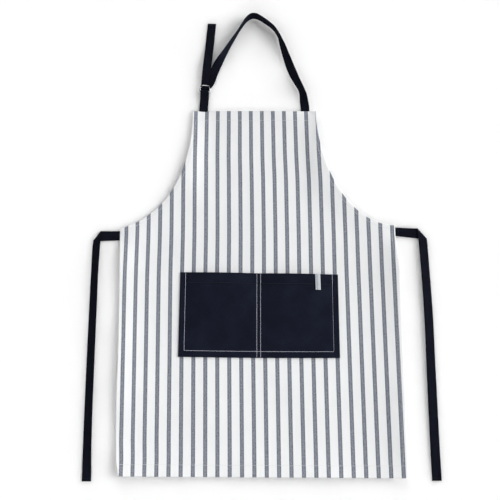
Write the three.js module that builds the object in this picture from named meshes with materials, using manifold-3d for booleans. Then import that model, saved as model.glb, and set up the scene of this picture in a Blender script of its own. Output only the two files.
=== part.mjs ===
// A bib apron in striped cotton, lying flat: one panel, a divided kangaroo pocket, two waist ties and an
// adjustable neck strap that threads through a pair of D-rings. Millimetres, +Z up.
// The origin is on the underside of the panel, midway up its length. +Y runs up to the neck strap.
import * as THREE from "three";
import { mergeVertices } from "three/addons/utils/BufferGeometryUtils.js";
import Module from "manifold-3d";

// ---- driving dimensions ------------------------------------------------------------------------

const panel = {
  length: 864, // bottom hem to the top of the bib
  waistWidth: 656,
  hemWidth: 648,
  bibWidth: 302,
  bibShift: -5, // the bib lies this far to the left of the skirt's centre line
  armholeDepth: 291,
  thickness: 0.8, // one layer of cloth
};
const armhole = {
  // how far each handle of the curve reaches, as shares of the armhole's depth and width
  left: { down: 0.63, out: 0.01, in: 0.56, up: 0.1 },
  right: { down: 0.44, out: 0.02, in: 0.63, up: 0.02 },
  steps: 22,
};
const hem = {
  thickness: 2.4, // three layers of cloth
  top: 25,
  bottom: 28,
  side: 10,
};
const pocket = {
  width: 374,
  height: 196,
  aboveHem: 266, // bottom edge of the pocket to the bottom of the apron
  thickness: 1.2,
  margin: 13.5, // edge to the line of stitching
  bottomMargin: 15,
  mouthHem: 24,
  dividerGap: 8.8, // between the two lines of stitching down the middle
  billow: 9, // how far each mouth stands open
};
const label = {
  width: 12,
  length: 37,
  thickness: 0.6,
  fromCentre: 139,
};
const tape = {
  width: 20.5,
  thickness: 1.2,
};
const thread = {
  width: 0.8,
  height: 0.4,
};
const ring = {
  wire: 2.5,
  depth: 15, // centre of the straight bar to centre of the curved bar
  footRadius: 2.2,
  shoulderRadius: 7,
};
const tab = {
  fromCentre: 129.6, // left of the skirt's centre line
  lean: 4.3, // degrees, toward the middle
  bars: 51.6, // edge of the bib to the rings' straight bars
  foldStart: 30, // where the upper layer starts to rise over the rings
  stitchUp: 6, // line of stitching above the bib
};
const tail = {
  length: 163,
  endHem: 5,
  crossingRoll: 17, // how far the neck strap is rolled where the tail last rests on its raised edge
};
const strapEnd = {
  fromCentre: 120.3, // right of the skirt's centre line
};
const ties = {
  below: 16, // top of the side seam to the middle of the tie
  left: { out: 54, drop: 563, stitchOut: 4.5 },
  right: { out: 62, drop: 566, stitchOut: 4.5 },
  endHem: 6,
};
const sewnIn = {
  top: 21, // how far the neck tapes run in under the bib hem
  side: 8.5, // how far the waist ties run in under the side hems
};

// clearances
const seat = 0.1; // between faces that rest on each other
const slack = 0.3; // around a piece that turns or threads through another
const ringPlay = 0.75; // between the tape's edges and the sides of a ring
const foldGap = 0.4; // between the edge of the cloth and a tape that folds about it

// the neck strap from the rings, round the back of the neck and down to the bib:
// x, height above the bib and how far the strap is rolled up on its inner edge, in degrees
const neckRoute = [
  [-120, 66, 0],
  [-113.6, 76, 0],
  [-108.5, 89, 2],
  [-101.6, 107.5, 9],
  [-93.6, 123, 26],
  [-87.2, 133, 44],
  [-78.3, 147.4, 61],
  [-69, 162.9, 72],
  [-59.4, 178.5, 81],
  [-49.7, 194.2, 90],
  [-40.1, 210.1, 96],
  [-30.5, 225.5, 95],
  [-19.5, 239.5, 90],
  [-8, 246.8, 84],
  [3, 246.8, 86],
  [13, 241.5, 90],
  [25.2, 232.6, 90],
  [38.5, 222, 92],
  [48, 211.8, 92],
  [55.2, 200.8, 90],
  [60, 191.2, 84],
  [65.4, 175.5, 67],
  [70.5, 160, 53],
  [75.3, 144.4, 44],
  [80.5, 129, 35],
  [85.8, 113.6, 27],
  [91.9, 97.7, 25],
  [98.5, 80.9, 38],
  [106, 65, 50],
  [110.7, 55, 54],
  [114.2, 45, 49],
  [116.8, 33, 34],
  [118.5, 19.5, 14],
];

// ---- sizes worked out from them ----------------------------------------------------------------

const bibTop = panel.length / 2;
const skirtBottom = -panel.length / 2;
const sideTop = bibTop - panel.armholeDepth;
const bibLeft = panel.bibShift - panel.bibWidth / 2;
const bibRight = panel.bibShift + panel.bibWidth / 2;
const pocketBottom = skirtBottom + pocket.aboveHem;
const pocketMouth = pocketBottom + pocket.height;
const pocketSeat = panel.thickness + seat;
const flatMargin = 2; // cloth that stays down beside each line of stitching
const halfDivider = pocket.dividerGap / 2;
const wireRadius = ring.wire / 2;
const ringReach = tape.width / 2 + ringPlay + wireRadius; // middle of a ring to the middle of its side
const layerGap = ring.wire + 2 * slack; // between two layers of tape with a ring's wire between them
const innerBarHeight = tape.thickness + slack + wireRadius;
const outerBarHeight = innerBarHeight + ring.wire + slack;
const tailHeight = 1.5 * tape.thickness + layerGap; // middle of the tape that crosses the inner ring
const outerCurveHeight = tailHeight + tape.thickness / 2 + slack + wireRadius;
const outerRingRise = Math.asin((outerCurveHeight - outerBarHeight) / ring.depth);
const hingeY = bibTop + foldGap;
const tabStart = hingeY + (tape.width / 2) * Math.sin(THREE.MathUtils.degToRad(tab.lean));
const turnEnd = tab.bars + ring.depth + wireRadius + slack; // along the tab's own line
const tailStart = turnEnd + 2 * slack;
const tieY = sideTop - ties.below;

// ---- materials ---------------------------------------------------------------------------------

function material(name, color, roughness, metalness) {
  const result = new THREE.MeshStandardMaterial({ color, roughness, metalness });
  result.name = name;
  return result;
}

const ticking = material("striped_cotton", 0xd9dadb, 0.9, 0);
const navyCotton = material("navy_cotton", 0x1c2130, 0.9, 0);
const navyTape = material("navy_tape", 0x161925, 0.85, 0);
const whiteTape = material("white_tape", 0xdfe2e4, 0.85, 0);
const whiteThread = material("white_thread", 0xe8e8e6, 0.8, 0);
const navyThread = material("navy_thread", 0x141824, 0.8, 0);
const nickel = material("nickel_plate", 0xc9cbcd, 0.25, 1);

// ---- helpers -----------------------------------------------------------------------------------

const wasm = await Module();
wasm.setup();

function toSolid(geometry) {
  const bare = geometry.clone();
  bare.deleteAttribute("normal");
  bare.deleteAttribute("uv");
  const merged = mergeVertices(bare, 1e-4);
  return new wasm.Manifold(
    new wasm.Mesh({
      numProp: 3,
      vertProperties: new Float32Array(merged.attributes.position.array),
      triVerts: new Uint32Array(merged.index.array),
    }),
  );
}

function toGeometry(solid) {
  const mesh = solid.getMesh();
  const geometry = new THREE.BufferGeometry();
  geometry.setAttribute("position", new THREE.BufferAttribute(new Float32Array(mesh.vertProperties), 3));
  geometry.setIndex(new THREE.BufferAttribute(new Uint32Array(mesh.triVerts), 1));
  geometry.computeVertexNormals();
  return geometry;
}

function piece(name, geometry, finish) {
  const mesh = new THREE.Mesh(geometry, finish);
  mesh.name = name;
  return mesh;
}

function plate(points, depth, height = 0) {
  const geometry = new THREE.ExtrudeGeometry(new THREE.Shape(points), { depth, bevelEnabled: false });
  return geometry.translate(0, 0, height);
}

function block(width, length, height, x, y, z) {
  // x and y are the middle of the block and z is its underside
  return new THREE.BoxGeometry(width, length, height).translate(x, y, z + height / 2);
}

function moveVertices(geometry, place) {
  const position = geometry.attributes.position;
  const point = new THREE.Vector3();
  for (let i = 0; i < position.count; i++) {
    point.fromBufferAttribute(position, i);
    place(point);
    position.setXYZ(i, point.x, point.y, point.z);
  }
  geometry.computeVertexNormals();
  return geometry;
}

// a strip along a line of [x, y, roll] stations, its lower edge `rest` above z = 0
function rolledTape(stations, steps, rest = 0) {
  const places = new THREE.CatmullRomCurve3(
    stations.map(([x, y, roll]) => new THREE.Vector3(x, y, THREE.MathUtils.degToRad(roll) * 100)),
    false,
    "centripetal",
  );
  const up = new THREE.Vector3(0, 0, 1);
  return moveVertices(new THREE.BoxGeometry(1, 1, 1, 1, 1, steps), (point) => {
    const along = THREE.MathUtils.clamp(point.z + 0.5, 0, 1);
    const centre = places.getPoint(along);
    const roll = centre.z / 100;
    const forward = places.getTangent(along).setZ(0).normalize();
    const outward = new THREE.Vector3(-forward.y, forward.x, 0);
    const across = outward.multiplyScalar(Math.cos(roll)).addScaledVector(up, Math.sin(roll));
    const through = new THREE.Vector3().crossVectors(forward, across);
    centre.z = rest + (tape.width * Math.abs(Math.sin(roll)) + tape.thickness * Math.abs(Math.cos(roll))) / 2;
    centre.addScaledVector(across, point.x * tape.width).addScaledVector(through, point.y * tape.thickness);
    point.copy(centre);
  });
}

// tape seen from its edge: a line of [y, z] points given the tape's thickness and width
function foldedTape(line) {
  const middle = line.map(([y, z]) => new THREE.Vector2(y, z));
  const side = (sign) =>
    middle.map((point, i) => {
      const before = middle[Math.max(i - 1, 0)];
      const after = middle[Math.min(i + 1, middle.length - 1)];
      const forward = after.clone().sub(before).normalize();
      const normal = new THREE.Vector2(-forward.y, forward.x);
      return point.clone().addScaledVector(normal, (sign * tape.thickness) / 2);
    });
  const outline = [...side(-1), ...side(1).reverse()];
  const geometry = plate(outline, tape.width, -tape.width / 2);
  // the profile's own x and y become y and z, and the tape's width runs along x
  return geometry.applyMatrix4(new THREE.Matrix4().makeBasis(
    new THREE.Vector3(0, 1, 0),
    new THREE.Vector3(0, 0, 1),
    new THREE.Vector3(1, 0, 0),
  ));
}

function arc(centreY, centreZ, radius, from, to, steps) {
  return Array.from({ length: steps + 1 }, (_, i) => {
    const angle = THREE.MathUtils.degToRad(from + ((to - from) * i) / steps);
    return [centreY + radius * Math.cos(angle), centreZ + radius * Math.sin(angle)];
  });
}

// ---- the panel ---------------------------------------------------------------------------------

// the armhole's edge, from the bib down to the side seam; side is -1 for the left, 1 for the right
function armholeLine(side, inset = 0) {
  const shape = side < 0 ? armhole.left : armhole.right;
  const top = new THREE.Vector2(side < 0 ? bibLeft : bibRight, bibTop);
  const bottom = new THREE.Vector2((side * panel.waistWidth) / 2, sideTop);
  const width = Math.abs(bottom.x - top.x);
  const depth = panel.armholeDepth;
  const curve = new THREE.CubicBezierCurve(
    top,
    new THREE.Vector2(top.x + side * shape.out * width, top.y - shape.down * depth),
    new THREE.Vector2(bottom.x - side * shape.in * width, bottom.y + shape.up * depth),
    bottom,
  );
  return Array.from({ length: armhole.steps + 1 }, (_, i) => {
    const along = i / armhole.steps;
    const forward = curve.getTangent(along);
    const inward = new THREE.Vector2(-forward.y, forward.x).multiplyScalar(-side);
    return curve.getPoint(along).addScaledVector(inward, inset);
  });
}

function sideX(side, y, inset = 0) {
  // the side seams draw in a little from the waist to the hem
  const share = (sideTop - y) / (sideTop - skirtBottom);
  const width = panel.waistWidth + (panel.hemWidth - panel.waistWidth) * share;
  return side * (width / 2 - inset);
}

// where a waist tie crosses the side seam: the seam's furthest point over the tie's width
function seamX() {
  const half = tape.width / 2;
  return Math.max(sideX(1, tieY - half), sideX(1, tieY + half));
}

function panelOutline(inset = 0) {
  const skirt = (side) => [new THREE.Vector2(sideX(side, skirtBottom, inset), skirtBottom)];
  const half = (side) => {
    const edge = armholeLine(side, inset).filter((point) => Math.abs(point.x) <= Math.abs(sideX(side, point.y, inset)));
    return [...edge, ...skirt(side)];
  };
  return [...half(-1), ...half(1).reverse()];
}

function makePanel() {
  const top = bibTop - hem.top;
  const bottom = skirtBottom + hem.bottom;
  const within = block(panel.waistWidth, top - bottom, 3 * hem.thickness, 0, (top + bottom) / 2, -hem.thickness);
  const middle = toSolid(plate(panelOutline(hem.side), 3 * hem.thickness, -hem.thickness));
  const cloth = toSolid(plate(panelOutline(), panel.thickness));
  const hems = toSolid(plate(panelOutline(), hem.thickness)).subtract(middle.intersect(toSolid(within)));
  let solid = cloth.add(hems);
  for (const slot of sewnEnds()) {
    const hollow = block(
      slot.width + 2 * slack,
      slot.length + 2 * slack,
      2 * (tape.thickness + slack),
      slot.x,
      slot.y,
      -tape.thickness - slack,
    );
    solid = solid.subtract(toSolid(hollow));
  }
  return piece("apron_panel", toGeometry(solid), ticking);
}

// ---- the ends of the tapes, sewn in under the hems ------------------------------------------------

function sewnEnds() {
  const neck = (name, x) => ({
    name,
    x,
    y: bibTop - sewnIn.top / 2,
    width: tape.width,
    length: sewnIn.top,
  });
  const waist = (name, side) => ({
    name,
    x: side * (seamX() - sewnIn.side / 2),
    y: tieY,
    width: sewnIn.side,
    length: tape.width,
  });
  return [
    neck("ring_tab_sewn_end", -tab.fromCentre),
    neck("neck_strap_sewn_end", strapEnd.fromCentre),
    waist("left_tie_sewn_end", -1),
    waist("right_tie_sewn_end", 1),
  ];
}

function makeSewnEnds() {
  return sewnEnds().map((end) =>
    piece(end.name, block(end.width, end.length, tape.thickness, end.x, end.y, 0), navyTape),
  );
}

// ---- stitching on the panel ------------------------------------------------------------------------

function makeHemStitching() {
  const onHem = hem.thickness + seat;
  const strip = (name, width, length, x, y) =>
    piece(name, block(width, length, thread.height, x, y, onHem), whiteThread);
  const topLine = bibTop - hem.top + 1;
  const bottomLine = skirtBottom + hem.bottom - 1.5;
  const fold = hem.side - 1.5; // the stitching runs just inside the folded edge
  const clear = 4; // each line stops short of the next
  const curves = [-1, 1].map((side) => {
    const outer = armholeLine(side, fold - thread.width).filter((point) => point.y < topLine - clear);
    const inner = armholeLine(side, fold).filter((point) => point.y < topLine - clear);
    const count = Math.min(outer.length, inner.length) - 1;
    const outline = [...outer.slice(-count - 1, -1), ...inner.slice(-count - 1, -1).reverse()];
    return piece(
      side < 0 ? "left_armhole_stitching" : "right_armhole_stitching",
      plate(outline, thread.height, onHem),
      whiteThread,
    );
  });
  const seams = [-1, 1].map((side) => {
    const top = sideTop - 2 * hem.side;
    const bottom = bottomLine + clear;
    const outline = [
      [top, fold - thread.width],
      [top, fold],
      [bottom, fold],
      [bottom, fold - thread.width],
    ].map(([y, inset]) => new THREE.Vector2(sideX(side, y, inset), y));
    return piece(
      side < 0 ? "left_side_stitching" : "right_side_stitching",
      plate(outline, thread.height, onHem),
      whiteThread,
    );
  });
  return [
    strip("top_hem_stitching", panel.bibWidth - 2 * hem.side, thread.width, panel.bibShift, topLine),
    ...curves,
    ...seams,
    strip("bottom_hem_stitching", panel.hemWidth - 2 * clear, thread.width, 0, bottomLine),
  ];
}

// ---- the pocket -------------------------------------------------------------------------------------

const billowFrom = halfDivider + flatMargin;
const billowTo = pocket.width / 2 - pocket.margin - flatMargin;

// how far the pocket's cloth stands off the panel
function billowAt(x, y) {
  const across = (Math.abs(x) - billowFrom) / (billowTo - billowFrom);
  const floor = pocketBottom + pocket.bottomMargin + flatMargin;
  const up = (y - floor) / (pocketMouth - floor);
  if (across <= 0 || across >= 1 || up <= 0) return 0;
  return pocket.billow * Math.sin(Math.PI * across) ** 0.8 * Math.sin((Math.PI / 2) * Math.min(up, 1)) ** 1.2;
}

function spread(from, to, steps) {
  return Array.from({ length: steps + 1 }, (_, i) => from + ((to - from) * i) / steps);
}

function pocketColumns() {
  const right = spread(billowFrom, billowTo, 14);
  return [-pocket.width / 2, ...right.map((x) => -x).reverse(), ...right, pocket.width / 2];
}

function makePocket() {
  const columns = pocketColumns();
  const rows = [pocketBottom, ...spread(pocketBottom + pocket.bottomMargin + flatMargin, pocketMouth, 9)];
  const across = columns.length - 1;
  const up = rows.length - 1;
  const geometry = moveVertices(new THREE.BoxGeometry(1, 1, 1, across, up, 1), (point) => {
    const x = columns[Math.round((point.x + 0.5) * across)];
    const y = rows[Math.round((point.y + 0.5) * up)];
    const z = pocketSeat + billowAt(x, y) + (point.z + 0.5) * pocket.thickness;
    point.set(x, y, z);
  });
  return piece("pocket_panel", geometry, navyCotton);
}

// a line of thread laid over the pocket from x1 to x2 at height y
function overPocket(x1, x2, y, width, height, steps) {
  return moveVertices(new THREE.BoxGeometry(1, 1, 1, steps, 1, 1), (point) => {
    const x = x1 + (x2 - x1) * (point.x + 0.5);
    const along = y + point.y * width;
    const z = pocketSeat + pocket.thickness + 3 * seat + billowAt(x, along) + (point.z + 0.5) * height;
    point.set(x, along, z);
  });
}

function makePocketStitching() {
  const onPocket = pocketSeat + pocket.thickness + seat;
  const sideX = pocket.width / 2 - pocket.margin;
  const bottom = pocketBottom + pocket.bottomMargin;
  const half = thread.width / 2;
  const outline = [
    [-sideX - half, pocketMouth],
    [-sideX - half, bottom - half],
    [sideX + half, bottom - half],
    [sideX + half, pocketMouth],
    [sideX - half, pocketMouth],
    [sideX - half, bottom + half],
    [-sideX + half, bottom + half],
    [-sideX + half, pocketMouth],
  ].map(([x, y]) => new THREE.Vector2(x, y));
  const clear = 1;
  const lineLength = pocket.height - pocket.bottomMargin - half - clear;
  const divider = (name, x) =>
    piece(name, block(thread.width, lineLength, thread.height, x, pocketMouth - lineLength / 2, onPocket), whiteThread);
  const hemLine = pocketMouth - pocket.mouthHem;
  const mouth = (name, side) =>
    piece(
      name,
      overPocket(
        side < 0 ? -sideX + 2 * clear : halfDivider + 2 * clear,
        side < 0 ? -halfDivider - 2 * clear : sideX - 2 * clear,
        hemLine,
        thread.width,
        thread.height,
        18,
      ),
      navyThread,
    );
  return [
    piece("pocket_outline_stitching", plate(outline, thread.height, onPocket), whiteThread),
    divider("pocket_divider_stitching_left", -halfDivider),
    divider("pocket_divider_stitching_right", halfDivider),
    mouth("pocket_mouth_stitching_left", -1),
    mouth("pocket_mouth_stitching_right", 1),
  ];
}

function makeLabel() {
  const middle = pocketMouth - label.length / 2;
  const geometry = overPocket(
    label.fromCentre - label.width / 2,
    label.fromCentre + label.width / 2,
    middle,
    label.length,
    label.thickness,
    2,
  );
  // it hangs straight, clear of the thread under it
  return piece("label", geometry.translate(0, 0, thread.height + 3 * seat), whiteTape);
}

// ---- the rings ----------------------------------------------------------------------------------------

// a D in wire: straight bar on y = 0, curved bar at y = depth
function ringGeometry() {
  const reach = ringReach;
  const foot = ring.footRadius;
  const shoulder = ring.shoulderRadius;
  const outline = new THREE.Path();
  outline.moveTo(0, 0);
  outline.lineTo(reach - foot, 0);
  outline.absarc(reach - foot, foot, foot, -Math.PI / 2, 0, false);
  outline.lineTo(reach, ring.depth - shoulder);
  outline.absarc(reach - shoulder, ring.depth - shoulder, shoulder, 0, Math.PI / 2, false);
  outline.lineTo(shoulder - reach, ring.depth);
  outline.absarc(shoulder - reach, ring.depth - shoulder, shoulder, Math.PI / 2, Math.PI, false);
  outline.lineTo(-reach, foot);
  outline.absarc(foot - reach, foot, foot, Math.PI, 1.5 * Math.PI, false);
  outline.lineTo(0, 0);
  const full = 2 * Math.PI;
  return moveVertices(new THREE.TorusGeometry(10, wireRadius, 10, 48), (point) => {
    const turn = Math.atan2(point.y, point.x);
    const along = ((turn + full) % full) / full;
    const centre = outline.getPointAt(along);
    const forward = outline.getTangentAt(along);
    const outward = Math.hypot(point.x, point.y) - 10;
    point.x = centre.x + forward.y * outward;
    point.y = centre.y - forward.x * outward;
  });
}

function makeRings() {
  const inner = piece("inner_ring", ringGeometry(), nickel);
  inner.position.set(0, tab.bars, innerBarHeight);
  const outer = piece("outer_ring", ringGeometry(), nickel);
  outer.position.set(0, tab.bars, outerBarHeight);
  outer.rotation.x = outerRingRise;
  return [inner, outer];
}

// ---- the tab, the neck strap and its tail ----------------------------------------------------------------

function makeTab() {
  const half = tape.thickness / 2;
  const eyeTop = outerBarHeight + wireRadius + slack + half;
  const radius = (eyeTop - half) / 2;
  const eyeCentre = tab.bars - 0.4;
  const upper = 3 * half + slack;
  const rise = new THREE.SplineCurve([
    new THREE.Vector2(eyeCentre, eyeTop),
    new THREE.Vector2(eyeCentre - 4, eyeTop - 0.3),
    new THREE.Vector2(tab.foldStart + 8, upper + 1.8),
    new THREE.Vector2(tab.foldStart, upper + 0.3),
    new THREE.Vector2(tab.foldStart - 8, upper),
    new THREE.Vector2(0, upper),
  ]);
  const line = [
    [0, half],
    [eyeCentre - 2, half],
    ...arc(eyeCentre, half + radius, radius, -90, 90, 12),
    ...rise.getPoints(20).slice(1).map((point) => [point.x, point.y]),
  ];
  return piece("ring_tab", foldedTape(line), navyTape);
}

function makeTabStitching() {
  const height = 2 * tape.thickness + slack + seat;
  const line = block(tape.width - 2, thread.width, thread.height, 0, tab.stitchUp, height);
  return piece("ring_tab_stitching", line, navyThread);
}

// the turn that the neck strap takes round the inner ring's curved bar, before it leaves as the tail
function strapTurn() {
  const half = tape.thickness / 2;
  const radius = (tailHeight - half) / 2;
  const turnCentre = tab.bars + ring.depth / 2;
  return foldedTape([
    [turnEnd, half],
    [turnCentre + 1, half],
    ...arc(turnCentre, half + radius, radius, 270, 90, 12),
    [turnCentre + 1, tailHeight],
    [turnEnd, tailHeight],
  ]);
}

function makeTail() {
  const end = tailStart + tail.length;
  const rise = Math.sin(THREE.MathUtils.degToRad(tail.crossingRoll));
  const overEdge = tape.width * rise + 1.5 * tape.thickness + slack;
  const heights = [
    [tailStart, tailHeight],
    [tailStart + 14, (tailHeight + overEdge) / 2],
    [tailStart + 34, overEdge],
    [tailStart + 50, overEdge],
    [tailStart + 80, overEdge * 0.45],
    [tailStart + 105, tape.thickness],
    [end, tape.thickness * 0.6],
  ];
  const curve = new THREE.SplineCurve(heights.map(([y, z]) => new THREE.Vector2(y, z)));
  return piece("strap_tail", foldedTape(curve.getPoints(36).map((point) => [point.x, point.y])), navyTape);
}

function makeTailStitching() {
  const y = tailStart + tail.length - tail.endHem;
  const line = block(tape.width - 2, thread.width, thread.height, 0, y, tape.thickness * 1.3 + slack);
  return piece("strap_tail_stitching", line, navyThread);
}

function onTabLine(meshes) {
  const group = new THREE.Group();
  group.add(...meshes);
  group.position.set(-tab.fromCentre, tabStart, 0);
  group.rotation.z = -THREE.MathUtils.degToRad(tab.lean);
  return group;
}

function makeNeckStrap() {
  const route = [
    ...neckRoute.map(([x, y, roll]) => [x, bibTop + y, roll]),
    [strapEnd.fromCentre, hingeY + 6, 1],
    [strapEnd.fromCentre, hingeY, 0],
  ];
  const turn = onTabLine([piece("turn", strapTurn(), navyTape)]);
  turn.updateMatrixWorld(true);
  const placed = strapTurn().applyMatrix4(turn.children[0].matrixWorld);
  const solid = toSolid(rolledTape(route, 110)).add(toSolid(placed));
  return piece("neck_strap", toGeometry(solid), navyTape);
}

// ---- the waist ties -----------------------------------------------------------------------------------

// left tie, drawn for side -1: it runs out from the side seam, turns through a creased corner and
// lies down beside the skirt, a little rolled
function makeTie(side) {
  const size = side < 0 ? ties.left : ties.right;
  const half = tape.width / 2;
  const seam = seamX();
  const edge = seamX() + foldGap;
  const inner = seam + size.out - half;
  const outer = inner + tape.width;
  const top = tieY + half;
  const end = tieY - size.drop;
  const corner = [
    [edge, top],
    [outer - tape.width, top],
    [outer, top - tape.width],
    [outer, top - tape.width - 12],
    [inner, top - tape.width - 12],
    [inner, tieY - half],
    [edge, tieY - half],
  ].map(([x, y]) => new THREE.Vector2(side * x, y));
  const middle = (inner + outer) / 2;
  const rolls = side < 0 ? [0, -24, -20, -18, -16, 0] : [0, -12, -14, -8, -4, 0];
  const drift = side < 0 ? [0, 0.5, 2.5, 4.5, 6.5, 7] : [0, 1, 2.2, 2, 2, 2.2];
  const start = top - tape.width - 1;
  const flatEnd = end + 3 * ties.endHem; // the tie lies flat from here to its end
  const route = rolls.map((roll, i) => {
    const share = i / (rolls.length - 1);
    return [side * (middle + drift[i]), start + (flatEnd - start) * share, side < 0 ? -roll : roll];
  });
  route.push([side * (middle + drift[drift.length - 1]), end, 0]);
  const solid = toSolid(plate(corner, tape.thickness)).add(toSolid(rolledTape(route, 40)));
  const name = side < 0 ? "left_tie" : "right_tie";
  const onTape = tape.thickness + seat;
  const across = block(thread.width, tape.width - 2, thread.height, side * (seam + size.stitchOut), tieY, onTape);
  const endX = side * (middle + drift[drift.length - 1]);
  const endLine = block(tape.width - 2, thread.width, thread.height, endX, end + ties.endHem, onTape + slack);
  return [
    piece(name, toGeometry(solid), navyTape),
    piece(`${name}_stitching`, across, navyThread),
    piece(`${name}_end_stitching`, endLine, navyThread),
  ];
}

// ---- the apron -------------------------------------------------------------------------------------------

const apron = new THREE.Group();
apron.add(
  makePanel(),
  ...makeSewnEnds(),
  ...makeHemStitching(),
  makePocket(),
  ...makePocketStitching(),
  makeLabel(),
  makeNeckStrap(),
  onTabLine([makeTab(), makeTabStitching(), ...makeRings(), makeTail(), makeTailStitching()]),
  ...makeTie(-1),
  ...makeTie(1),
);

export default apron;
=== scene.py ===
import math

import bmesh
import bpy
import numpy as np
from mathutils import Matrix, Vector
from mathutils.geometry import delaunay_2d_cdt


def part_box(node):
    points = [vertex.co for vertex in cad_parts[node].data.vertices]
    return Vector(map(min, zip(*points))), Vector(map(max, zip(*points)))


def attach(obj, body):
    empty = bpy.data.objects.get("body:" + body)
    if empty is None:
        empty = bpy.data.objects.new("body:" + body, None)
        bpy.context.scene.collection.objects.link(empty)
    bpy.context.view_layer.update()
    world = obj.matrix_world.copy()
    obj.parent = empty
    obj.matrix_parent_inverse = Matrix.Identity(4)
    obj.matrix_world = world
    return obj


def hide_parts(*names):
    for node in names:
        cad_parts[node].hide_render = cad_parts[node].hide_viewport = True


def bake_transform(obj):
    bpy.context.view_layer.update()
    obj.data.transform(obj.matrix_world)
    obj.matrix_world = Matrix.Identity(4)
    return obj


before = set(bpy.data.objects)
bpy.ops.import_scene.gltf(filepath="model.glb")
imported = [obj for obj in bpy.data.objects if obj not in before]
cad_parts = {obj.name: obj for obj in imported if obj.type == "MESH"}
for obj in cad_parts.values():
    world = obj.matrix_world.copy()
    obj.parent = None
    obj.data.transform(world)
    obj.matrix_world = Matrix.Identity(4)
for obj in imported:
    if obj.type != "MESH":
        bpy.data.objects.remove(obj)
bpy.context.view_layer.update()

# Lengths below are in millimetres; MM turns them into the frame's metres.
MM = 0.001


def node_box(name):
    low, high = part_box(name)
    return [value / MM for value in low], [value / MM for value in high]


PANEL_LOW, PANEL_HIGH = node_box("apron_panel")
POCKET_LOW, POCKET_HIGH = node_box("pocket_panel")
TIE_BOX = {side: node_box(name) for side, name in ((-1, "left_tie"), (1, "right_tie"))}
BIB_TOP = PANEL_HIGH[1]
SKIRT_BOTTOM = PANEL_LOW[1]
WAIST_HALF = PANEL_HIGH[0]

TAPE = {"width": 21.2, "thickness": 1.2}
CLOTH = 0.8  # one layer
HEM = {"thickness": 2.4, "top": 25, "bottom": 28, "side": 10, "fold": 2.2}
BIB = {"left": -156, "right": 146, "armhole": 291}
HEM_HALF = 324
SIDE_TOP = BIB_TOP - BIB["armhole"]
TIE_Y = SIDE_TOP - 16
# the tab is measured along its own line: "bars" is how far up it the rings' straight bars lie
TAB = {"x": -129.6, "y": 433.17, "lean": 4.3, "bars": 51.6}
RING = {"wire": 2.5, "depth": 15, "reach": 12.25, "foot": 2.2, "shoulder": 7}
INNER_BAR, OUTER_BAR = 2.75, 5.55  # heights of the rings' bars
OUTER_RISE = 5.74  # degrees that the outer ring leans on the strap
TAIL_HEIGHT = 4.9  # middle of the tape where it has come round the inner ring
TURN_END = 68.15  # where the strap's turn ends and the tail begins, up the tab's line
STRAP_END_X = 120.3
HINGE_Y = BIB_TOP + 0.4
SEWN_UNDER = 21  # length of tape under the bib's hem
TAPE_ROW = (-9.2, 9.2)  # ends of the row of stitches across a tape, out from its middle
TAPE_STITCH = 2.6
SLACK = 0.3  # between tape and wire that lie on each other


# ---- shader sums ----


class Wire:
    """A socket of a material's nodes that can be used in ordinary sums."""

    def __init__(self, tree, socket=None):
        self.tree, self.socket = tree, socket

    def node(self, kind, settings=None, inputs=None, output=0):
        """Adds a node of any kind: first its settings, then its inputs as wires or plain values."""
        node = self.tree.nodes.new(kind)
        for name, value in (settings or {}).items():
            setattr(node, name, value)
        for name, value in (inputs or {}).items():
            if isinstance(value, Wire):
                self.tree.links.new(value.socket, node.inputs[name])
            else:
                node.inputs[name].default_value = value
        return None if output is None else Wire(self.tree, node.outputs[output])

    def maths(self, operation, *values):
        return self.node("ShaderNodeMath", {"operation": operation}, dict(enumerate(values)))

    def __add__(self, other):
        return self.maths("ADD", self, other)

    __radd__ = __add__

    def __mul__(self, other):
        return self.maths("MULTIPLY", self, other)

    __rmul__ = __mul__

    def __sub__(self, other):
        return self.maths("SUBTRACT", self, other)

    def __rsub__(self, other):
        return self.maths("SUBTRACT", other, self)

    def __truediv__(self, other):
        return self.maths("DIVIDE", self, other)

    def __abs__(self):
        return self.maths("ABSOLUTE", self)

    def sine(self):
        return self.maths("SINE", self)

    def fraction(self):
        return self.maths("FRACT", self)

    def above(self, edge):
        return self.maths("GREATER_THAN", self, edge)

    def step(self, low, high):
        """0 below low, 1 above high, smooth between them."""
        settings = {"interpolation_type": "SMOOTHSTEP"}
        inputs = {"Value": self, "From Min": low, "From Max": high}
        return self.node("ShaderNodeMapRange", settings, inputs)

    def blend(self, first, second):
        """The first number where this is 0 and the second where it is 1."""
        return self * second + (1 - self) * first

    def tint(self, first, second):
        """The first colour where this is 0 and the second where it is 1."""
        return self.node("ShaderNodeMix", {"data_type": "RGBA"}, {0: self, 6: first, 7: second}, 2)

    def xyz(self):
        split = self.node("ShaderNodeSeparateXYZ", None, {0: self}).socket.node
        return [Wire(self.tree, socket) for socket in split.outputs]

    def noise(self, x, y, z=0.0, detail=2.0, rough=0.5):
        place = self.node("ShaderNodeCombineXYZ", None, {0: x, 1: y, 2: z})
        inputs = {"Vector": place, "Scale": 1.0, "Detail": detail, "Roughness": rough}
        return self.node("ShaderNodeTexNoise", None, inputs)


def linear(red, green, blue):
    """A colour given in 0 to 255 display steps, as the renderer's linear light."""
    def one(value):
        share = value / 255
        return share / 12.92 if share <= 0.04045 else ((share + 0.055) / 1.055) ** 2.4
    return (one(red), one(green), one(blue), 1.0)


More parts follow.
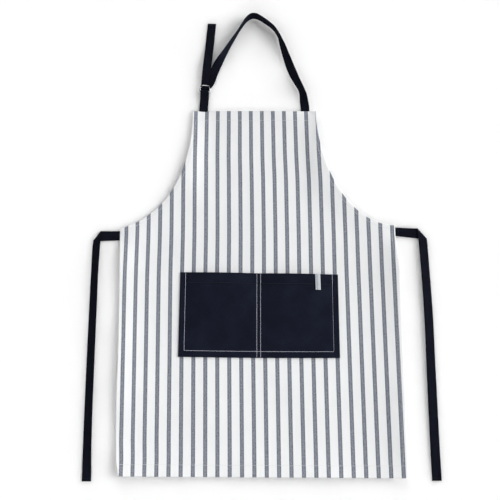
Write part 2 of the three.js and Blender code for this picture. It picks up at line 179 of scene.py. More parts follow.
def new_material(name, colour, roughness, height, depth, sheen=0.0, metallic=0.0, level=0.5):
    """A finish: colour, roughness and height are given as functions of its start wire."""
    made = bpy.data.materials.new(name)
    made.use_nodes = True
    tree = made.node_tree
    tree.nodes.clear()
    start = Wire(tree)
    inputs = {
        "Base Color": colour,
        "Roughness": roughness,
        "Metallic": metallic,
        "Sheen Weight": sheen,
        "Sheen Roughness": 0.5,
        "Specular IOR Level": level,
    }
    inputs = {key: value(start) if callable(value) else value for key, value in inputs.items()}
    relief = {"Strength": 1.0, "Distance": depth, "Height": height(start)}
    inputs["Normal"] = start.node("ShaderNodeBump", None, relief)
    surface = start.node("ShaderNodeBsdfPrincipled", None, inputs)
    start.node("ShaderNodeOutputMaterial", None, {"Surface": surface}, None)
    return made


# ---- finishes ----

STRIPE = {"pitch": 27.6, "half": 4.6, "frayed": 0.25}
YARN = 0.55  # from one yarn to the next
THREAD_TWIST = 0.35
RIB = 0.4  # from one rib of the label's tape to the next
LABEL = {"x": 139.0, "width": 12.0, "length": 37.0, "thickness": 0.7}


def on_object(start):
    """X, Y and Z on the piece, in millimetres."""
    return [value * (1 / MM) for value in start.node("ShaderNodeTexCoord", output="Object").xyz()]


def along_tape(start):
    """Along and across the weave, in millimetres; across a tape it is 0 at one selvedge."""
    return [value * (1 / MM) for value in start.node("ShaderNodeUVMap", {"uv_map": "weave"}).xyz()[:2]]


def plain_weave(x, y, pitch):
    """Yarns going over and under each other: 0 in the gaps, 1 on the crowns."""
    across = (x * (math.pi / pitch)).sine()
    down = (y * (math.pi / pitch)).sine()
    return (across * down).above(0).blend(abs(across), abs(down))


def twill(x, y, pitch):
    """Slanting ribs: 0 between them and 1 on top."""
    return ((x + y) * (math.pi / pitch)).sine() * 0.5 + 0.5


def stripe_mask(x):
    """How far x is from the middle of the nearest stripe, and 1 on the stripes and 0 off them."""
    away = abs((x / STRIPE["pitch"]).fraction() - 0.5) * STRIPE["pitch"]
    half, frayed = STRIPE["half"], STRIPE["frayed"]
    return away, 1 - away.step(half - frayed, half + frayed)


def striped_colour(start):
    x, y = along_tape(start)
    slub = start.noise(x * 1.6, y * 0.07, detail=3.0)
    pick = start.noise(x * 0.09, y * 1.5, detail=2.0)
    cloud = start.noise(x * 0.012, y * 0.012, detail=3.0)
    # painted light: the white ground is painted lighter toward the hem, standing for light that is brighter
    # there
    hem_painted_light = 1 - y.step(-300, 100)
    ground = (slub * 0.5 + pick * 0.3 + cloud * 0.5 - 0.1 + hem_painted_light * 0.25).tint(
        linear(226, 227, 228), linear(243, 244, 245)
    )
    away, mask = stripe_mask(x + (slub - 0.5) * 0.25)
    centre = 1 - away.step(1.0, 4.2)
    fleck = start.noise(x * 2.2, y * 0.9, z=7.0, detail=3.0)
    patch = start.noise(x * 0.3, y * 0.28, z=3.0, detail=3.0)
    heather = (slub * 0.5 + pick * 0.3 + fleck * 0.5 + patch * 0.9 - 0.67 + centre * 0.2).step(0.05, 0.95)
    blue = heather.tint(linear(68, 75, 91), linear(148, 152, 162))
    return mask.tint(ground, blue)


def striped_height(start):
    x, y = along_tape(start)
    return plain_weave(x, y, YARN) * 0.7 + start.noise(x * 0.8, y * 0.8, detail=3.0) * 0.6


def cotton_roughness(start):
    x, y, _ = on_object(start)
    return start.noise(x * 0.5, y * 0.5) * 0.12 + 0.82


def navy_colour(start):
    x, y, _ = on_object(start)
    slub = start.noise(x * 1.5, y * 0.12, detail=3.0)
    cloud = start.noise(x * 0.02, y * 0.02, detail=3.0)
    return (slub * 0.5 + cloud * 0.5).step(0.25, 0.75).tint(linear(17, 20, 31), linear(28, 32, 46))


def navy_height(start):
    x, y, _ = on_object(start)
    return twill(x, y, 0.5) * 0.7 + start.noise(x * 0.7, y * 0.7, detail=3.0) * 0.5


def tape_colour(dark, light):
    def colour(start):
        along, across = along_tape(start)
        edge = abs(across / TAPE["width"] - 0.5).step(0.36, 0.49)
        slub = start.noise(along * 0.16, across * 1.4, detail=3.0)
        cloud = start.noise(along * 0.03, across * 0.06, z=4.0)
        body = (slub * 0.55 + cloud * 0.45).step(0.25, 0.75).tint(dark, light)
        return (edge * 0.8).tint(body, linear(5, 6, 12))
    return colour


def tape_height(start):
    along, across = along_tape(start)
    rib = abs((across * (1 / 2.3)).fraction() - 0.5) * 2
    return twill(along, across, 0.45) * 0.6 + rib.step(0.0, 0.35) * 0.35


def tape_roughness(start):
    along, across = along_tape(start)
    return start.noise(along * 0.6, across * 0.6) * 0.12 + 0.78


def thread_colour(dark, light):
    def colour(start):
        # painted shade: the thread is painted darker between its plies and lighter on their crowns, following
        # the relief of its twist
        return thread_height(start).step(-1.0, 1.0).tint(dark, light)
    return colour


def thread_height(start):
    """The twist of its plies: 1 on a ply's crown and -1 between plies."""
    x, y, _ = on_object(start)
    return ((x + y) * (math.pi / THREAD_TWIST)).sine()


def label_colour(start):
    """Ribbed tape, painted darker between its ribs as shade, with a plain, broken grey band down it."""
    x, y, _ = on_object(start)
    # painted shade: rib follows the ribs' relief and paints the ground darker between them and lighter on
    # them; cloud is tone that differs at random
    rib = (y * (math.pi / RIB)).sine().step(-1.0, 1.0)
    cloud = start.noise(x * 0.4, y * 0.4)
    ground = (rib * 0.5 + cloud * 0.5).tint(linear(170, 175, 181), linear(202, 206, 210))
    band = 1 - abs(x - LABEL["x"] + 1.2).step(1.6, 2.6)
    broken = start.noise(x * 0.8, y * 0.8, z=2.0, detail=3.0).step(0.42, 0.6)
    return (band * (broken * 0.6 + 0.2)).tint(ground, linear(112, 118, 126))


def label_height(start):
    x, y, _ = on_object(start)
    return (y * (math.pi / RIB)).sine() * 0.5 + (x * (math.pi / 0.5)).sine() * 0.3


def nickel_colour(start):
    x, y, z = on_object(start)
    cloud = start.noise(x * 0.3, y * 0.3, z * 0.3, detail=4.0).step(0.35, 0.7)
    return cloud.tint(linear(158, 160, 163), linear(190, 191, 191))


def nickel_roughness(start):
    x, y, z = on_object(start)
    return start.noise(x * 1.2, y * 1.2, z * 1.2, detail=4.0).step(0.3, 0.8) * 0.16 + 0.16


def nickel_height(start):
    x, y, z = on_object(start)
    return start.noise(x * 2.0, y * 2.0, z * 2.0, detail=3.0)


STRIPED = new_material(
    "striped_cotton", striped_colour, cotton_roughness, striped_height, 0.00012, sheen=0.08, level=0.2
)
NAVY = new_material(
    "navy_cotton", navy_colour, cotton_roughness, navy_height, 0.00015, sheen=0.01, level=0.03
)
NAVY_TAPE = new_material(
    "navy_tape", tape_colour(linear(11, 12, 21), linear(21, 23, 34)), tape_roughness, tape_height, 0.00015,
    sheen=0.01, level=0.03
)
WHITE_TAPE = new_material(
    "white_tape", label_colour, cotton_roughness, label_height, 0.0001, sheen=0.05, level=0.2
)


def new_thread(name, dark, light):
    return new_material(name, thread_colour(dark, light), 0.7, thread_height, 0.00005, level=0.3)


WHITE_THREAD = new_thread("white_thread", linear(172, 173, 190), linear(226, 227, 240))
HEM_THREAD = new_thread("hem_thread", linear(208, 208, 210), linear(230, 230, 231))
NAVY_THREAD = new_thread("navy_thread", linear(9, 11, 18), linear(26, 30, 42))
NICKEL = new_material("nickel_plate", nickel_colour, nickel_roughness, nickel_height, 0.00001, metallic=1.0)


# ---- making pieces ----


def new_piece(name, points, faces, finish, stands_for=(), weave=None):
    """A smooth-shaded piece from points in millimetres; weave gives each point's place on its cloth."""
    mesh = bpy.data.meshes.new(name)
    mesh.from_pydata([tuple(value * MM for value in point) for point in points], [], faces)
    # turn every face outward
    shape = bmesh.new()
    shape.from_mesh(mesh)
    bmesh.ops.recalc_face_normals(shape, faces=shape.faces)
    shape.to_mesh(mesh)
    shape.free()
    mesh.polygons.foreach_set("use_smooth", [True] * len(mesh.polygons))
    if weave:
        layer = mesh.uv_layers.new(name="weave")
        for loop in mesh.loops:
            u, v = weave[loop.vertex_index]
            layer.data[loop.index].uv = (u * MM, v * MM)
    mesh.materials.append(finish)
    mesh.update()
    made = bpy.data.objects.new(name, mesh)
    bpy.context.scene.collection.objects.link(made)
    if stands_for:
        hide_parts(*stands_for)
    return made


def tube_faces(sides, rings, first=0):
    """The faces of a closed tube whose points start at first, ring by ring."""
    faces = []
    for start in range(first, first + (rings - 1) * sides, sides):
        for k in range(sides):
            a, b = start + k, start + (k + 1) % sides
            faces.append((a, a + sides, b + sides, b))
    last = first + (rings - 1) * sides
    return faces + [list(range(first, first + sides)), list(range(last, last + sides))[::-1]]


def smooth(share):
    share = np.clip(share, 0, 1)
    return share * share * (3 - 2 * share)


def distance(line, points):
    """Shortest distance from each point to a line of points."""
    best = np.full(len(points), 1e9)
    for start, end in zip(line[:-1], line[1:]):
        step = end - start
        share = np.clip((points - start) @ step / (step @ step), 0, 1)
        best = np.minimum(best, np.linalg.norm(points - start - share[:, None] * step, axis=1))
    return best


def lengths(line):
    """How far along the line each of its points is."""
    return np.concatenate([[0], np.cumsum(np.linalg.norm(np.diff(line, axis=0), axis=1))])


def directions(line):
    """The line's direction at each of its points."""
    forward = np.gradient(line, axis=0)
    return forward / np.linalg.norm(forward, axis=1)[:, None]


def evenly(line, pitch):
    """The line's points again, at even steps of about pitch."""
    line = np.asarray(line, float)
    run = lengths(line)
    at = np.linspace(0, run[-1], max(2, round(run[-1] / pitch) + 1))
    return np.stack([np.interp(at, run, line[:, i]) for i in range(line.shape[1])], 1)


def through(stations, count):
    """A smooth line through stations, its tangents taken from each station's neighbours."""
    stations = np.asarray(stations, float)
    run = lengths(stations[:, :2])
    slope = np.gradient(stations, run, axis=0)
    at = np.linspace(0, run[-1], count)
    i = np.clip(np.searchsorted(run, at, side="right") - 1, 0, len(run) - 2)
    gap = (run[i + 1] - run[i])[:, None]
    share = (at - run[i])[:, None] / gap
    a, b = stations[i], stations[i + 1]
    one, two = slope[i] * gap, slope[i + 1] * gap
    return (
        a * (1 + 2 * share) * (1 - share) ** 2
        + one * share * (1 - share) ** 2
        + b * share**2 * (3 - 2 * share)
        + two * share**2 * (share - 1)
    )


# ---- the striped panel ----

# how far each end's pull on the armhole's curve reaches, as shares of its depth and width
ARMHOLE = {
    -1: {"down": 0.63, "out": 0.01, "in": 0.56, "up": 0.1},
    1: {"down": 0.44, "out": 0.02, "in": 0.63, "up": 0.02},
}


def half_outline(side):
    """One edge of the flat pattern, from the bib's corner to the hem's."""
    shape = ARMHOLE[side]
    top = np.array([BIB["left"] if side < 0 else BIB["right"], BIB_TOP])
    corner = np.array([side * WAIST_HALF, SIDE_TOP])
    width, depth = abs(corner[0] - top[0]), BIB["armhole"]
    one = top + (side * shape["out"] * width, -shape["down"] * depth)
    two = corner + (-side * shape["in"] * width, shape["up"] * depth)
    share = np.linspace(0, 1, 60)[:, None]
    curve = (
        top * (1 - share) ** 3
        + 3 * one * share * (1 - share) ** 2
        + 3 * two * share**2 * (1 - share)
        + corner * share**3
    )
    return curve, np.array([corner, [side * HEM_HALF, SKIRT_BOTTOM]])


HALVES = {side: half_outline(side) for side in (-1, 1)}
EDGES = [line for half in HALVES.values() for line in half]


def inset(line, amount, side):
    """The line moved in toward the middle of the cloth."""
    forward = directions(line)
    return line + amount * np.stack([-forward[:, 1], forward[:, 0]], 1) * -side


def from_sides(points):
    """How far each place on the flat pattern is from its armholes and side hems."""
    return np.min([distance(line, points) for line in EDGES], axis=0)


# how far the panel's edges stand off the table, over the gentle swells of the cloth between them
EDGE_LIFT = {"side": 4.4, "hem": 5.0, "bib": 3.4, "top": 2.4}
# the places where the cloth lies flat on a tape that is sewn under it, and how far about them
PINNED = [(-328, TIE_Y), (328, TIE_Y), (TAB["x"], BIB_TOP), (STRAP_END_X, BIB_TOP)]
PINNED_REACH = 26


def rising(value, start, reach):
    """0 up to start, then ever steeper to 1 a reach further on."""
    return np.clip((value - start) / reach, 0, 1) ** 2


def lift(x, y):
    """How far the laid cloth stands off the table."""
    side = rising(np.abs(x), 215, 113) * smooth((170 - y) / 60)
    hem = rising(-y, 350, 82)
    bib = rising(np.abs(x + 5), 95, 56) * smooth((y - 170) / 80)
    top = rising(y, 395, 37)
    swell = 0.5 + 0.35 * np.sin(x / 67 + 1.1) * np.cos(y / 91) + 0.25 * np.sin(x / 31 + y / 143)
    rise = (
        np.maximum(swell, 0)
        + side * (EDGE_LIFT["side"] + 1.3 * np.sin(y / 52 + np.sign(x)) + 0.6 * np.sin(y / 23))
        + hem * (EDGE_LIFT["hem"] + 0.9 * np.sin(x / 61) + 0.5 * np.sin(x / 27 + 2))
        + bib * (EDGE_LIFT["bib"] + 0.9 * np.sin(y / 38))
        + top * (EDGE_LIFT["top"] + 0.4 * np.sin(x / 33))
    )
    for at_x, at_y in PINNED:
        away = ((x - at_x) ** 2 + (y - at_y) ** 2) / PINNED_REACH**2
        rise = rise * (1 - np.exp(-away))
    return rise


# how the cloth was put down: its slope across at the hem, the waist and the bib's top, and how far its
# skirt is pulled out of the flat pattern's shape
LEANS = (-0.0116, -0.0043, -0.0248)
PULLED = {"below_bib": -1.8, "left": 3.0, "left_corner": -5.0, "right": 6.5}


def settle(x, y):
    """Where a place on the flat pattern lies: the cloth was put down a touch askew."""
    lean = np.interp(y, [SKIRT_BOTTOM, SIDE_TOP, BIB_TOP], LEANS)
    left = PULLED["left"] * np.exp(-(((y + 300) / 110) ** 2))
    left = left + PULLED["left_corner"] * smooth((SKIRT_BOTTOM + 37 - y) / 37)
    left = left * np.clip(-x / WAIST_HALF, 0, 1)
    right = PULLED["right"] * np.clip(x / WAIST_HALF, 0, 1) * smooth((120 - y) / 80)
    return x + PULLED["below_bib"] * smooth((BIB_TOP - y) / 220) - left + right, y + lean * x


# how far the stripes stray from straight lines, in millimetres, over each part of the panel
STRAY = {"all": 0.4, "waist": 1.0, "bib": -1.0, "fan": 1.2, "left_edge": 2.5, "left_corner": 1.5}


def woven(x, y):
    """Where the laid cloth's places are on its own weave, which is drawn in a little toward the bib's hem."""
    shift = STRAY["all"] + STRAY["waist"] * smooth((y - 20) / 120) + STRAY["bib"] * smooth((y - 250) / 80)
    shift = shift + STRAY["fan"] * x / WAIST_HALF * smooth((180 - y) / 200)
    shift = shift + STRAY["left_edge"] * rising(-x, 240, 80)
    shift = shift + STRAY["left_corner"] * smooth((-340 - y) / 60) * np.clip((-150 - x) / 170, 0, 1)
    middle = 22
    return middle + (x - shift - middle) * (1 + 0.00012 * np.maximum(y - 250, 0)), y


def draw_in(x, y, rise):
    """Cloth that stands off the table reaches a little less far across it."""
    return x * (1 - 0.0006 * rise), y * (1 - 0.0004 * rise)


HEM_EASE = 45  # how far past a hem the face comes down to the single cloth
SIDE_SEAM = HEM["side"] - 1.5
TOP_SEAM = BIB_TOP - HEM["top"] + 1.0
BOTTOM_SEAM = SKIRT_BOTTOM + HEM["bottom"] - 1.5
PUCKER_REACH = 2.4


def hem_share(points):
    """1 on the hems and 0 on the single cloth, the same easing off slowly past the hems, and the distance in
    from the nearest edge and from the nearest side."""
    side = from_sides(points)
    top, bottom = BIB_TOP - points[:, 1], points[:, 1] - SKIRT_BOTTOM
    widths = ((side, HEM["side"]), (top, HEM["top"]), (bottom, HEM["bottom"]))
    past = [value - width + HEM["fold"] for value, width in widths]
    share = np.max([1 - smooth(value / (2 * HEM["fold"])) for value in past], axis=0)
    ease = np.max([1 - smooth(value / HEM_EASE) for value in past], axis=0)
    return share, ease, np.min([side, top, bottom], axis=0), side


# middle and half size of the places where a tape's end lies under a hem
SLOT_HALF = TAPE["width"] / 2 + 0.4
SEWN_SLOTS = [
    (TAB["x"], BIB_TOP - 10, SLOT_HALF, 12),
    (STRAP_END_X, BIB_TOP - 10, SLOT_HALF, 12),
    (-WAIST_HALF + 4, TIE_Y, 6, SLOT_HALF),
    (WAIST_HALF - 4, TIE_Y, 6, SLOT_HALF),
]


def rounded(edge, reach):
    """How much of its thickness the cloth has this far in from its edge, over a reach."""
    return np.sqrt(1 - (1 - np.clip(edge / reach, 0, 1)) ** 2) * 0.75 + 0.25


def panel_heights(points):
    """Top and underside of the panel over places on its flat pattern."""
    x, y = points[:, 0], points[:, 1]
    share, ease, edge, side = hem_share(points)
    turned = HEM["thickness"] - CLOTH
    thick = CLOTH + turned * share
    round_off = rounded(edge, 1.2)
    near = np.exp(-(((side - SIDE_SEAM) / PUCKER_REACH) ** 2))
    pucker = near * (0.08 + 0.06 * np.sin((x + y) / 1.4) * np.sin((x - 1.7 * y) / 3.1))
    for line in (TOP_SEAM, BOTTOM_SEAM):
        near = np.exp(-(((y - line) / PUCKER_REACH) ** 2))
        pucker = pucker + near * (0.08 + 0.05 * np.sin(x / 1.3) + 0.07 * np.sin(x / 4.7 + y))
    # the hems are turned to the back, so the face stays nearly level where the cloth gets thinner
    base = lift(x, y) + 0.88 * turned * (ease - share)
    middle = thick / 2
    upper = base + middle + middle * round_off - pucker * share
    under = base + middle - middle * round_off
    for at_x, at_y, half_x, half_y in SEWN_SLOTS:
        inside = (np.abs(x - at_x) < half_x) & (np.abs(y - at_y) < half_y)
        under = np.where(inside, np.maximum(under, TAPE["thickness"] + 0.25), under)
    return upper, under


def closed_sheet(name, place, heights, faces, finish, stands_for, weave=None):
    """A closed sheet of cloth: where its points lie, its top and underside there, and the top's faces."""
    count = len(place[0])
    points = np.concatenate([np.stack([*place, height], 1) for height in heights])
    sides = [side for face in faces for side in zip(face, face[1:] + face[:1])]
    inner = {(b, a) for a, b in sides}
    below = [[i + count for i in reversed(face)] for face in faces]
    walls = [[b, a, a + count, b + count] for a, b in sides if (a, b) not in inner]
    return new_piece(name, points.tolist(), faces + below + walls, finish, stands_for, weave)


def panel_pattern():
    """Points over the flat pattern, closer together along its hems, and how many make up its outline."""
    pitch = 3.5
    edges = {side: [evenly(line, pitch) for line in half] for side, half in HALVES.items()}
    top = evenly([[BIB["right"], BIB_TOP], [BIB["left"], BIB_TOP]], pitch)
    bottom = evenly([[-HEM_HALF, SKIRT_BOTTOM], [HEM_HALF, SKIRT_BOTTOM]], pitch)
    left = np.concatenate([edges[-1][0][:-1], edges[-1][1][:-1]])
    right = np.concatenate([edges[1][0][:-1], edges[1][1]])[::-1]
    outline = np.concatenate([left, bottom[:-1], right[:-1], top[:-1]])
    rows = []
    side_rows = (0.4, 1.2, 3, 5.5, 7.4, 8.5, 9.3, 10.7, 12)
    for side, (curve, seam) in edges.items():
        for line in (curve, seam):
            rows += [(inset(line, amount, side), amount) for amount in side_rows]
    for amount in (0.4, 1.2, 3, 7, 11, 15, 19, 22.4, 24, 24.8, 25.8, 27.5):
        low = amount * HEM["bottom"] / HEM["top"]
        rows += [(top - (0, amount), amount), (bottom + (0, low), low)]
    points = []
    for line, amount in rows:
        away = np.min([from_sides(line), BIB_TOP - line[:, 1], line[:, 1] - SKIRT_BOTTOM], axis=0)
        points.append(line[away > min(amount, 9) - 0.02])
    step = 6
    columns, lines = np.meshgrid(np.arange(-330, 331, step), np.arange(-432, 433, step * 0.87))
    columns = columns + (np.arange(len(lines)) % 2)[:, None] * step / 2
    grid = np.stack([columns.ravel(), lines.ravel()], 1)
    inside = np.zeros(len(grid), bool)
    for a, b in zip(outline, np.roll(outline, -1, axis=0)):
        crosses = (a[1] > grid[:, 1]) != (b[1] > grid[:, 1])
        with np.errstate(divide="ignore", invalid="ignore"):
            at = a[0] + (grid[:, 1] - a[1]) * (b[0] - a[0]) / (b[1] - a[1])
        inside ^= crosses & (grid[:, 0] < at)
    clear = inside & (from_sides(grid) > 14) & (grid[:, 1] < BIB_TOP - 29) & (grid[:, 1] > SKIRT_BOTTOM + 32)
    return np.concatenate([outline, *points, grid[clear]]), len(outline)


def make_panel():
    pattern, count = panel_pattern()
    outline = [(i, (i + 1) % count) for i in range(count)]
    flat, _, faces = delaunay_2d_cdt([Vector(point) for point in pattern], outline, [], 1, 0.15)[:3]
    flat = np.array([tuple(point) for point in flat])
    upper, under = panel_heights(flat)
    x, y = settle(flat[:, 0], flat[:, 1])
    weave = list(zip(*woven(x, y))) * 2
    return closed_sheet(
        "striped_panel", draw_in(x, y, under), (upper, under), [list(face) for face in faces],
        STRIPED, ["apron_panel"], weave
    )


# ---- stitching ----

# along a stitch, how wide it is and how high it stands, each as a share of the whole
STITCH = ((-0.5, 0.2, -0.35), (-0.38, 0.85, 0.55), (0.0, 1.0, 1.0), (0.38, 0.85, 0.55), (0.5, 0.2, -0.35))
STITCH_SIDES = 6
STITCH_LENGTH = 0.86  # of the pitch; the rest is the gap to the next stitch
WANDER = 0.12


def run_of_stitches(name, line, finish, body, width=0.8, tall=0.45, pitch=3.2):
    """Separate stitches along a line that already lies on the cloth, for the seam of that name."""
    points, faces = [], []
    path = evenly(line, 0.5)
    run = lengths(path)
    total = int(run[-1] / pitch)
    for i in range(total):
        middle = (i + 0.5) * pitch + (run[-1] - total * pitch) / 2
        reach = pitch * STITCH_LENGTH / 2
        start, end = (
            np.array([np.interp(at, run, path[:, k]) for k in range(3)])
            for at in (middle - reach, middle + reach)
        )
        forward = end - start
        centre = (start + end) / 2
        across = np.array([-forward[1], forward[0]]) / np.hypot(forward[0], forward[1])
        sway = WANDER * (math.sin(i * 2.4) + 0.6 * math.sin(i * 0.37))
        first = len(points)
        for along, wide, high in STITCH:
            spot = centre[:2] + forward[:2] * along + across * sway
            level = centre[2] + forward[2] * along
            for k in range(STITCH_SIDES):
                angle = math.tau * k / STITCH_SIDES
                side = across * math.cos(angle) * wide * width / 2
                up = level + high * tall * 0.55 + math.sin(angle) * wide * tall * 0.45
                points.append((spot[0] + side[0], spot[1] + side[1], up))
        faces += tube_faces(STITCH_SIDES, len(STITCH), first)
    made = new_piece(name.replace("stitching", "stitches"), points, faces, finish)
    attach(made, body)
    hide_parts(name)


def row_across(name, ends, body):
    """The short row that holds a tape's end down."""
    line = [tuple(end) for end in ends]
    run_of_stitches(name, line, NAVY_THREAD, body, pitch=TAPE_STITCH)


def panel_line(flat):
    """A line on the flat pattern, where it lies."""
    flat = evenly(flat, 2.0)
    upper, under = panel_heights(flat)
    x, y = draw_in(*settle(flat[:, 0], flat[:, 1]), under)
    return np.stack([x, y, upper], 1)


def make_panel_stitching():
    fold = HEM["side"] - 1.9
    lines = {
        "top_hem_stitching": [[BIB["left"] + 8, TOP_SEAM], [BIB["right"] - 8, TOP_SEAM]],
        "bottom_hem_stitching": [[-HEM_HALF + 4, BOTTOM_SEAM], [HEM_HALF - 4, BOTTOM_SEAM]],
    }
    for side, word in ((-1, "left"), (1, "right")):
        curve, seam = HALVES[side]
        arm = inset(curve, fold, side)
        within = (arm[:, 1] < TOP_SEAM - 2) & (from_sides(arm) > fold - 0.05)
        lines[f"{word}_armhole_stitching"] = arm[within]
        seam = inset(evenly(seam, 4.0), fold, side)
        within = (seam[:, 1] < SIDE_TOP - 10) & (seam[:, 1] > BOTTOM_SEAM + 2)
        lines[f"{word}_side_stitching"] = seam[within]
    for name, line in lines.items():
        run_of_stitches(name, panel_line(line), HEM_THREAD, "root", width=0.55, tall=0.3)


# ---- the pocket ----

POCKET = {"margin": 13.5, "bottom_margin": 15, "mouth_hem": 24, "divider": 4.4, "billow": 7.0}
POCKET_HALF = (POCKET_HIGH[0] - POCKET_LOW[0]) / 2
POCKET_BOTTOM, POCKET_MOUTH = POCKET_LOW[1], POCKET_HIGH[1]
POCKET_SEAM_X = POCKET_HALF - POCKET["margin"]
POCKET_SEAM_Y = POCKET_BOTTOM + POCKET["bottom_margin"]
POCKET_HEM_Y = POCKET_MOUTH - POCKET["mouth_hem"]
# where the sewn pocket's sides lie, bottom and top, and how far its lower edge bows down
SEWN_POCKET = {"left": (-187.6, -183.9), "right": (186.2, 187.4), "bow": 1.2}
SEWN_BOTTOM, SEWN_MOUTH = (-162.8, -169.6), (35.4, 24.2)  # their heights, left and right


def between(ends, share):
    return ends[0] + (ends[1] - ends[0]) * share


def lay_pocket(x, y):
    """Where a place on the flat pocket lies: sewn on slightly askew, its lower edge bowed a little."""
    across = (x + POCKET_HALF) / (2 * POCKET_HALF)
    up = (y - POCKET_BOTTOM) / (POCKET_MOUTH - POCKET_BOTTOM)
    sides = between(SEWN_POCKET["left"], up), between(SEWN_POCKET["right"], up)
    low = between(SEWN_BOTTOM, across) - SEWN_POCKET["bow"] * np.sin(math.pi * across)
    return between(sides, across), between((low, between(SEWN_MOUTH, across)), up)


def pocket_billow(x, y):
    """How far the pocket's cloth stands off the panel."""
    start, end = POCKET["divider"] + 2, POCKET_SEAM_X - 2
    floor = POCKET_SEAM_Y + 2
    across = np.clip((np.abs(x) - start) / (end - start), 0, 1)
    up = np.clip((y - floor) / (POCKET_MOUTH - floor), 0, 1)
    return POCKET["billow"] * np.sin(math.pi * across) ** 0.8 * np.sin(math.pi / 2 * up) ** 1.2


def pocket_heights(places):
    x, y = places[:, 0], places[:, 1]
    edge = POCKET_HALF - np.abs(x)
    low, mouth = y - POCKET_BOTTOM, POCKET_MOUTH - y
    laid_x, laid_y = lay_pocket(x, y)
    base = lift(laid_x, laid_y) + CLOTH + 0.1 + pocket_billow(x, y)
    past_turnings = [edge - 12, low - 12.5, mouth - POCKET["mouth_hem"]]
    turned = np.max([1 - smooth(past / 1.4) for past in past_turnings], axis=0)
    thick = 1.1 + 0.8 * turned
    round_off = rounded(np.min([edge, low, mouth], axis=0), 1.0)
    groove = np.zeros(len(places))
    for away in (
        edge - POCKET["margin"],
        low - POCKET["bottom_margin"],
        np.abs(x) - POCKET["divider"],
        mouth - POCKET["mouth_hem"],
    ):
        groove = groove + np.exp(-((away / 1.3) ** 2)) * (0.35 + 0.12 * np.sin((x + y) / 1.5))
    ripple = 0.25 * np.sin(x / 9 + y / 40) * np.exp(-((mouth / 30) ** 2))
    upper = base + thick / 2 + thick / 2 * round_off - np.minimum(groove, 0.5) + ripple
    under = base + thick / 2 - thick / 2 * round_off
    return upper, np.minimum(under, upper - 0.3)


def spread(low, high, step, near):
    """Rows from low to high, closer together beside each value in near and at both ends."""
    rows = set(np.linspace(low, high, round((high - low) / step) + 1).round(2))
    for value in near:
        rows |= {round(value + offset, 2) for offset in (-2.4, -1.3, -0.6, 0, 0.6, 1.3, 2.4)}
    for offset in (0.4, 1.0, 2.0, 3.2):
        rows |= {round(low + offset, 2), round(high - offset, 2)}
    rows = sorted(value for value in rows if low <= value <= high)
    kept = [rows[0]]
    for value in rows[1:]:
        if value - kept[-1] > 0.3:
            kept.append(value)
    kept[-1] = high
    return kept


def grid_sheet(name, columns, rows, heights, place, finish, stands_for):
    """A closed sheet of cloth from rows and columns on its flat pattern."""
    x, y = (value.ravel() for value in np.meshgrid(columns, rows))
    wide = len(columns)
    corners = [j * wide + i for j in range(len(rows) - 1) for i in range(wide - 1)]
    faces = [[a, a + 1, a + wide + 1, a + wide] for a in corners]
    return closed_sheet(name, place(x, y), heights(np.stack([x, y], 1)), faces, finish, stands_for)


def make_pocket():
    step = 4
    seams = [-POCKET_SEAM_X, -POCKET["divider"], POCKET["divider"], POCKET_SEAM_X]
    columns = spread(-POCKET_HALF, POCKET_HALF, step, seams)
    rows = spread(POCKET_BOTTOM, POCKET_MOUTH, step, [POCKET_SEAM_Y, POCKET_HEM_Y])
    return grid_sheet(
        "pocket_cloth", columns, rows, pocket_heights, lay_pocket, NAVY, ["pocket_panel"]
    )


def pocket_line(flat):
    flat = evenly(flat, 2.0)
    x, y = lay_pocket(flat[:, 0], flat[:, 1])
    return np.stack([x, y, pocket_heights(flat)[0]], 1)


def make_pocket_stitching():
    side, low, hem, gap = POCKET_SEAM_X, POCKET_SEAM_Y, POCKET_HEM_Y, POCKET["divider"]
    outline = [[-side, POCKET_MOUTH - 1], [-side, low], [side, low], [side, POCKET_MOUTH - 1]]
    white, navy = (WHITE_THREAD, "white_thread"), (NAVY_THREAD, "navy_thread")
    for name, line, (finish, slot) in (
        ("pocket_outline_stitching", outline, white),
        ("pocket_divider_stitching_left", [[-gap, POCKET_MOUTH - 1], [-gap, POCKET_BOTTOM + 1]], white),
        ("pocket_divider_stitching_right", [[gap, POCKET_MOUTH - 1], [gap, POCKET_BOTTOM + 1]], white),
        ("pocket_mouth_stitching_left", [[-side + 2, hem], [-gap - 2, hem]], navy),
        ("pocket_mouth_stitching_right", [[gap + 2, hem], [side - 2, hem]], navy),
    ):
        run_of_stitches(name, pocket_line(line), finish, "root", width=0.95)


# ---- the label ----


def label_row(down):
    """The row of the pocket that a row of the label lies over, down from 0 at its sewn end to 1."""
    return POCKET_MOUTH - 0.5 - LABEL["length"] * down


def lay_label(x, up):
    down = 1 - up
    return lay_pocket(LABEL["x"] + x + 0.6 * down, label_row(down))


def label_heights(flat):
    x, down = flat[:, 0], 1 - flat[:, 1]
    base = pocket_heights(np.stack([LABEL["x"] + x, label_row(down)], 1))[0]
    curl = 0.55 + 0.5 * down**2 + 0.015 * (x * down) ** 2
    half = LABEL["thickness"] / 2
    return base + curl + half, base + curl - half


def make_label():
    columns = np.linspace(-LABEL["width"] / 2, LABEL["width"] / 2, 9)
    rows = np.linspace(0, 1, 30)
    made = grid_sheet(
        "white_label", columns, rows, label_heights, lay_label, WHITE_TAPE, ["label"]
    )
    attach(made, "label")
    return made


# ---- tapes ----

# places across the tape and how thick it is at each, with a fuller rib near both edges
SHARES = (0.0, 0.015, 0.05, 0.11, 0.2, 0.35, 0.5, 0.65, 0.8, 0.89, 0.95, 0.985, 1.0)
EDGE_FORM = (0.35, 0.8, 1.08, 1.12, 0.95, 0.9, 0.9, 0.9, 0.95, 1.12, 1.08, 0.8, 0.35)


